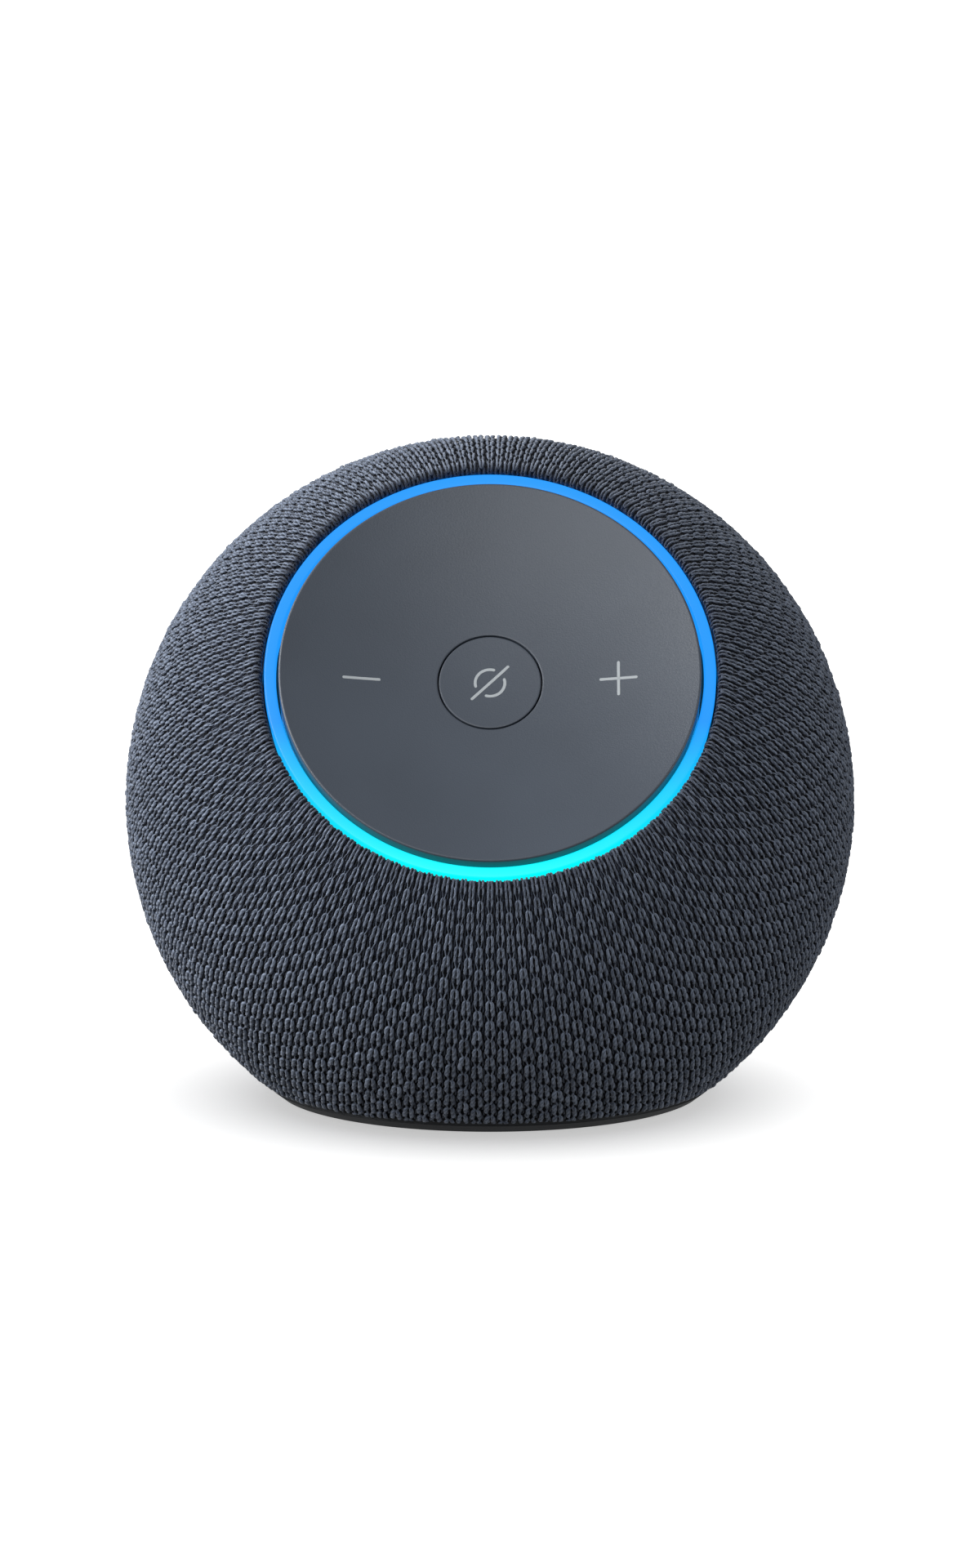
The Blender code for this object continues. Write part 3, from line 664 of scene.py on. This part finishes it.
def control_plate(material):
    """The dished disc, with a rounded rim and the button's hole in its middle."""
    rim = PLATE_R - 0.3
    hole = MUTE_R + 0.22
    flat = [hole + 0.12, hole + 0.25, *np.linspace(hole + 0.5, rim - 0.3, 26), rim - 0.1, rim]
    top = [(radius, dish(radius)) for radius in flat]
    lip = [(hole, dish(hole) - 0.12), (hole + 0.04, dish(hole) - 0.03)]
    edge = fillet((rim, dish(rim) - 0.3), 0.3, 80, 0, 5)
    under = [(PLATE_R, PLATE_RIM - 2.6), (PLATE_R - 1.5, PLATE_RIM - 2.6)]
    under += [(radius, dish(radius) - 1.5) for radius in np.linspace(PLATE_R - 1.6, hole, 12)]
    piece = turned("control_plate", lip + top + edge + under, material, "volume_plate", sides=256)
    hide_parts("face_plate")


def mute_cap(material):
    """The round button, whose top carries on the disc's hollow, with its hidden flange and stem."""
    flange_top, flange_low, stem_low, stem_r = 36.9, 36.35, 35.95, 2
    flat = [*np.linspace(1.2, MUTE_R - 0.5, 12), MUTE_R - 0.25, MUTE_R - 0.14]
    top = [(0, dish(0))] + [(r, dish(r)) for r in flat]
    edge = [(MUTE_R - 0.05, dish(MUTE_R) - 0.04), (MUTE_R, dish(MUTE_R) - 0.14)]
    under = [(MUTE_R, flange_top), (MUTE_FLANGE_R, flange_top), (MUTE_FLANGE_R, flange_low)]
    under += [(stem_r, flange_low), (stem_r, stem_low), (0, stem_low)]
    piece = turned("mute_cap", top + edge + under, material, "mute_cap", sides=160)
    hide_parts("mute_button")


def stroke(path, width):
    """A drawn line as a strip of quads with round ends: left and right edges of each rib."""
    path = np.array(path, dtype=float)
    ahead = np.gradient(path, axis=0)
    ahead /= np.hypot(*ahead.T)[:, None]
    across = np.stack([-ahead[:, 1], ahead[:, 0]], axis=1)
    ribs = []
    for end, sign in ((0, -1), (-1, 1)):
        caps = []
        for turn in np.linspace(0.08, 1, 5) * math.pi / 2:
            reach = math.cos(turn) * width / 2
            caps.append((path[end] + sign * reach * ahead[end], math.sin(turn) * width / 2,
                         across[end]))
        ribs.append(caps if sign < 0 else caps[::-1])
    middle = [(point, width / 2, aside) for point, aside in zip(path[1:-1], across[1:-1])]
    return [(point - half * aside, point + half * aside)
            for point, half, aside in ribs[0] + middle + ribs[1]]


def mark(name, lines, material, body, width=0.42):
    """Printed lines on the dished surface, as thin closed strips that follow it."""
    points, faces = [], []
    for line in lines:
        ribs = stroke(line, width)
        start = len(points)
        for left, right in ribs:
            for lift in (0.02, -0.05):
                for x, u in (left, right):
                    points.append(face_point(x, u, dish(math.hypot(x, u)) + lift))
        for k in range(len(ribs) - 1):
            a, b = start + 4 * k, start + 4 * (k + 1)
            faces += [(a, a + 1, b + 1, b), (a + 3, a + 2, b + 2, b + 3)]
            faces += [(a + 2, a, b, b + 2), (a + 1, a + 3, b + 3, b + 1)]
        a, b = start, start + 4 * (len(ribs) - 1)
        faces += [(a, a + 2, a + 3, a + 1), (b, b + 1, b + 3, b + 2)]
    piece = new_piece(name, points, faces, material, body, smooth=False)
    outward(piece.data)


def segment(x0, u0, x1, u1, steps=12):
    """Points along a straight line on the face."""
    return [(x0 + (x1 - x0) * i / steps, u0 + (u1 - u0) * i / steps) for i in range(steps + 1)]


def arc_line(radius, start, stop, steps=40):
    """Points along an arc about the face's middle, from one angle to another in degrees."""
    turns = np.radians(np.linspace(start, stop, steps + 1))
    return [(radius * math.cos(turn), radius * math.sin(turn)) for turn in turns]


def marks(material):
    """Minus, plus, and a ring struck through for the microphone."""
    half, ring_r, ring_gap, slash_half = 2.55, 2.15, 30, 2.6
    mark("minus_mark", [segment(-KEY_X - half, 0, -KEY_X + half, 0)], material, "volume_plate")
    mark("plus_mark", [segment(KEY_X - half, 0, KEY_X + half, 0),
                       segment(KEY_X, -half, KEY_X, half)], material, "volume_plate")
    rings = [arc_line(ring_r, start + ring_gap, start + 180 - ring_gap) for start in (45, 225)]
    slash = segment(-slash_half, -slash_half, slash_half, slash_half)
    mark("mute_mark", rings + [slash], material, "mute_cap")


def glowing_ring(material):
    """The light ring: a rounded lit face on a narrower foot."""
    inner, outer, top = RING_IN, RING_OUT, RING_TOP
    outline = [(inner, top - 1.4)] + fillet((inner + 0.3, top - 0.3), 0.3, 180, 90, 5)
    outline += fillet((outer - 0.3, top - 0.3), 0.3, 90, 0, 5)
    outline += [(outer, top - 1.4), (outer - 0.3, top - 1.6), (outer - 0.3, top - 5)]
    outline += [(inner + 0.35, top - 5), (inner + 0.35, top - 1.6)]
    piece = turned("glowing_ring", outline, material, "housing", sides=256)
    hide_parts("light_ring")


# ---- power inlet ----


def port_frame(radius, turn, height):
    """A place about the inlet's axis; heights near the lip follow the ball's surface."""
    x, z = radius * math.cos(turn), PORT_Z + radius * math.sin(turn)
    surface = math.sqrt(PORT_BALL_R**2 - x**2 - (z - BALL[2]) ** 2)
    near_lip = min(max((height - PORT_LOW.y - 2) / (PORT_HIGH.y - PORT_LOW.y - 2), 0), 1)
    return np.array((x, height + (surface - PORT_HIGH.y) * near_lip, z)) * MM


def inlet(material, dark, metal):
    """A round collar set in the cover, with the socket and its pin in the collar's floor."""
    inner, top, floor_y, hole = PORT_R - 1.2, PORT_HIGH.y, PORT_LOW.y, 3.9
    outline = [(hole, floor_y), (PORT_R, floor_y)]
    outline += fillet((PORT_R - 0.25, top - 0.25), 0.25, 0, 90, 5)
    outline += fillet((inner + 0.4, top - 0.4), 0.4, 90, 180, 6)
    outline += fillet((inner - 0.5, floor_y + 1.9), 0.5, 0, -90, 5) + [(hole, floor_y + 1.4)]
    collar = turned("inlet_collar", outline, material, "housing", port_frame, 128)
    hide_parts("port_bezel")
    jack_low, jack_high = corners_mm("dc_jack")
    barrel, bore, mouth = 3.5, 2.8, jack_high.y
    outline = [(0, jack_low.y), (barrel, jack_low.y)]
    outline += fillet((barrel - 0.15, mouth - 0.15), 0.15, 0, 90, 4)
    outline += fillet((bore + 0.25, mouth - 0.25), 0.25, 90, 180, 4)
    outline += [(bore, jack_low.y + 1), (0, jack_low.y + 1)]
    socket = turned("inlet_socket", outline, dark, "housing", port_frame, 96)
    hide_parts("dc_jack")
    outline = [(0, jack_low.y + 0.5), (0.8, jack_low.y + 0.5)]
    outline += fillet((0.3, mouth - 1.2), 0.5, 0, 90, 4) + [(0, mouth - 0.7)]
    pin = turned("inlet_pin", outline, metal, "housing", port_frame, 48)


# ---- base ----


def base(rim_material, rubber):
    """The dark rim that carries on the ball's curve under the hem, and the rubber foot in it."""
    low, high = corners_mm("base_plate")
    foot_low, foot_high = corners_mm("rubber_foot")
    foot_r = (foot_high.x - foot_low.x) / 2
    centre = float(BALL[2])
    under, top, gap, shelf_r = low.z + 0.6, HEM_Z - 0.3, 0.3, 33
    rise = []
    for z in np.linspace(under + 0.2, top, 9):
        rise.append((math.sqrt((BALL_R - 0.15) ** 2 - (centre - z) ** 2), z))
    edge = [(rise[0][0] - 0.45, under), (rise[0][0] - 0.15, under + 0.06)]
    outline = [(0, foot_high.z + gap), (foot_r + gap, foot_high.z + gap)]
    outline += [(foot_r + gap, under)] + edge + rise
    outline += [(shelf_r, top), (shelf_r, high.z), (0, high.z)]
    piece = turned("base_rim", outline, rim_material, "housing", floor_frame, 220)
    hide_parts("base_plate")
    tread = [(0, 0), (foot_r - 3, 0), (foot_r - 2.8, 0.25), (foot_r - 2.2, 0.25), (foot_r - 2, 0)]
    tread += [(foot_r - 0.7, 0)] + fillet((foot_r - 0.6, 0.6), 0.6, -80, 0, 5)
    tread += [(foot_r, foot_high.z), (0, foot_high.z)]
    foot = turned("foot_pad", tread, rubber, "housing", floor_frame, 160)
    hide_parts("rubber_foot")


# ---- materials of the CAD nodes that stay ----


def finish_cad_nodes():
    """Give every CAD node a grained material by its slot: colour, roughness and metallic."""
    looks = {
        "shell": ((0.02, 0.02, 0.022), 0.6, 0.0), "rim": ((0.03, 0.033, 0.038), 0.5, 0.0),
        "plate": ((0.07, 0.078, 0.09), 0.5, 0.0), "diffuser": ((0.3, 0.5, 0.7), 0.4, 0.0),
        "white": ((0.7, 0.7, 0.68), 0.6, 0.0), "rubber": ((0.02, 0.02, 0.02), 0.85, 0.0),
        "board": ((0.01, 0.07, 0.04), 0.4, 0.0), "part": ((0.025, 0.025, 0.028), 0.42, 0.0),
        "paper": ((0.03, 0.03, 0.03), 0.85, 0.0), "steel": ((0.5, 0.51, 0.53), 0.32, 1.0),
        "aluminium": ((0.65, 0.66, 0.68), 0.4, 1.0), "ferrite": ((0.05, 0.05, 0.05), 0.7, 0.0),
        "copper": ((0.7, 0.32, 0.16), 0.35, 1.0), "fabric": ((0.05, 0.055, 0.07), 0.95, 0.0),
    }
    made = {slot: grained(f"cad_{slot}", *look) for slot, look in looks.items()}
    for part in frame["record"]["subparts"]:
        node = bpy.data.objects.get(part["node"])
        if node:
            node.data.materials.clear()
            node.data.materials.append(made[part["material_slot"]])
            node.data.shade_smooth()
            node.data.set_sharp_from_angle(angle=math.radians(35))


# ---- the woofer's rings, cut in sectors ----

FLEX_SECTORS = 12  # the woofer's rings are cut into this many sectors


def sector_mesh(node, number):
    """One closed sector of a CAD ring, with the ring's own material, and the ring's middle."""
    mesh = bpy.data.objects[node].data.copy()
    low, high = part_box(node)
    middle = (Vector(low) + Vector(high)) / 2
    work = bmesh.new()
    work.from_mesh(mesh)
    same_place = 0.001 * MM
    bmesh.ops.remove_doubles(work, verts=work.verts[:], dist=same_place)
    for side in (-1, 1):
        turn = 2 * math.pi * (number + side / 2) / FLEX_SECTORS
        bmesh.ops.bisect_plane(work, geom=work.verts[:] + work.edges[:] + work.faces[:],
                               plane_co=middle, clear_outer=True,
                               plane_no=(-side * math.sin(turn), side * math.cos(turn), 0))
        bmesh.ops.holes_fill(work, edges=work.edges[:])
    bmesh.ops.triangulate(work, faces=work.faces[:])
    work.to_mesh(mesh)
    work.free()
    return mesh, middle


def flexing_ring(node):
    """A CAD ring cut into closed sectors, each a piece of its own in the ring's place.
    """
    for number in range(FLEX_SECTORS):
        mesh, middle = sector_mesh(node, number)
        piece = bpy.data.objects.new(f"{node}_{number + 1}", mesh)
        bpy.context.collection.objects.link(piece)
        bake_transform(piece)
        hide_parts(node)


# ---- camera, light and floor ----

CAMERA_ELEVATION = 9.5  # degrees that the camera looks down
CAMERA_REACH = 1.2  # metres from the camera to the place it looks at
CAMERA_LIFT = 2.25  # that place is this far over the ball's centre, in mm
SENSOR_HEIGHT = 24  # mm
LENS = 123.1  # mm


def camera():
    """In front of the ball and a little above it."""
    data = bpy.data.cameras.new("camera")
    data.sensor_fit = "VERTICAL"
    data.sensor_height = SENSOR_HEIGHT
    data.lens = LENS
    data.clip_end = 20
    eye = bpy.data.objects.new("camera", data)
    bpy.context.collection.objects.link(eye)
    rise = math.radians(CAMERA_ELEVATION)
    towards = Vector((0, math.cos(rise), -math.sin(rise)))
    lift = Vector((0, math.sin(rise), math.cos(rise))) * CAMERA_LIFT * MM
    target = Vector(BALL * MM) + lift
    eye.location = target - towards * CAMERA_REACH
    eye.rotation_euler = towards.to_track_quat("-Z", "Y").to_euler()
    bpy.context.scene.camera = eye


def aimed(turn, rise, reach):
    """A place around the ball: degrees from the front towards +X, degrees up, and metres away."""
    turn, rise = math.radians(turn), math.radians(rise)
    level = math.cos(rise)
    return Vector(BALL * MM) + reach * Vector(
        (math.sin(turn) * level, -math.cos(turn) * level, math.sin(rise)))


def softbox(name, place, size, power, lit):
    """A soft lamp that faces the ball and lights one collection."""
    data = bpy.data.lights.new(name, "AREA")
    data.shape = "RECTANGLE"
    data.size, data.size_y = size
    data.energy = power
    lamp = bpy.data.objects.new(name, data)
    bpy.context.collection.objects.link(lamp)
    lamp.location = place
    lamp.rotation_euler = (Vector(BALL * MM) - place).to_track_quat("-Z", "Y").to_euler()
    lamp.light_linking.receiver_collection = lit


def studio():
    """Light from the upper left on the hub, and an even white sweep under and behind it."""
    hub, sweep = bpy.data.collections.new("hub_light"), bpy.data.collections.new("sweep_light")
    for piece in bpy.data.objects:
        if piece.type == "MESH":
            (sweep if piece.name == "sweep" else hub).objects.link(piece)
    softbox("key", aimed(-80, 32, 0.95), (0.9, 0.7), 14, hub)
    softbox("front", aimed(-12, 36, 1.0), (0.5, 0.5), 2.6, hub)
    softbox("glint", aimed(-52, 46, 1.0), (0.3, 0.3), 1.0, hub)
    softbox("edge", aimed(75, 18, 0.9), (0.4, 0.5), 1.8, hub)
    overhead = bpy.data.lights.new("overhead", "SUN")
    overhead.energy, overhead.angle = 2.7, math.radians(90)
    lamp = bpy.data.objects.new("overhead", overhead)
    bpy.context.collection.objects.link(lamp)
    lamp.light_linking.receiver_collection = sweep
    world = bpy.data.worlds.new("studio")
    bpy.context.scene.world = world
    world.use_nodes = True
    nodes, links = world.node_tree.nodes, world.node_tree.links
    ambient, seen = nodes["Background"], nodes.new("ShaderNodeBackground")
    ambient.inputs["Color"].default_value = (1, 1, 1, 1)
    ambient.inputs["Strength"].default_value = 0.22
    seen.inputs["Color"].default_value = (1, 1, 1, 1)
    path, mix = nodes.new("ShaderNodeLightPath"), nodes.new("ShaderNodeMixShader")
    links.new(path.outputs["Is Camera Ray"], mix.inputs["Fac"])
    links.new(ambient.outputs[0], mix.inputs[1])
    links.new(seen.outputs[0], mix.inputs[2])
    links.new(mix.outputs[0], nodes["World Output"].inputs["Surface"])
    bpy.context.scene.view_settings.view_transform = "Standard"


def floor():
    """A wide white sweep. It shows the hub's soft shadow and throws no light back up."""
    reach = 6.0
    mesh = bpy.data.meshes.new("sweep")
    mesh.from_pydata([(-reach, -reach, 0), (reach, -reach, 0), (reach, reach, 0),
                      (-reach, reach, 0)], [], [(0, 1, 2, 3)])
    paint = Paint("sweep", (0.93, 0.93, 0.93), 0.9)
    paint.set("Specular IOR Level", 0.1)
    paint.set("Emission Color", (1, 1, 1, 1))
    paint.set("Emission Strength", 0.52)
    mesh.materials.append(paint.material)
    sweep = bpy.data.objects.new("sweep", mesh)
    bpy.context.collection.objects.link(sweep)
    sweep.visible_diffuse = sweep.visible_glossy = False


def main():
    camera()
    floor()
    finish_cad_nodes()
    flexing_ring("woofer_surround")
    flexing_ring("woofer_spider")
    plate = plate_material()
    control_plate(plate)
    mute_cap(plate)
    marks(grained("print", (0.35, 0.38, 0.4), 0.5, bump=0.05, spread=0.04))
    glowing_ring(glow_material())
    rim = grained("rim_plastic", (0.022, 0.025, 0.029), 0.5)
    rubber = grained("foot_rubber", (0.015, 0.015, 0.016), 0.85, bump=0.4)
    base(rim, rubber)
    inlet(rim, grained("socket", (0.012, 0.012, 0.013), 0.4),
          grained("pin", (0.6, 0.6, 0.62), 0.25, 1.0))
    cloth = backing(backing_material())
    stitches = knit(yarn_material())
    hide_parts("fabric_cover")
    studio()


main()
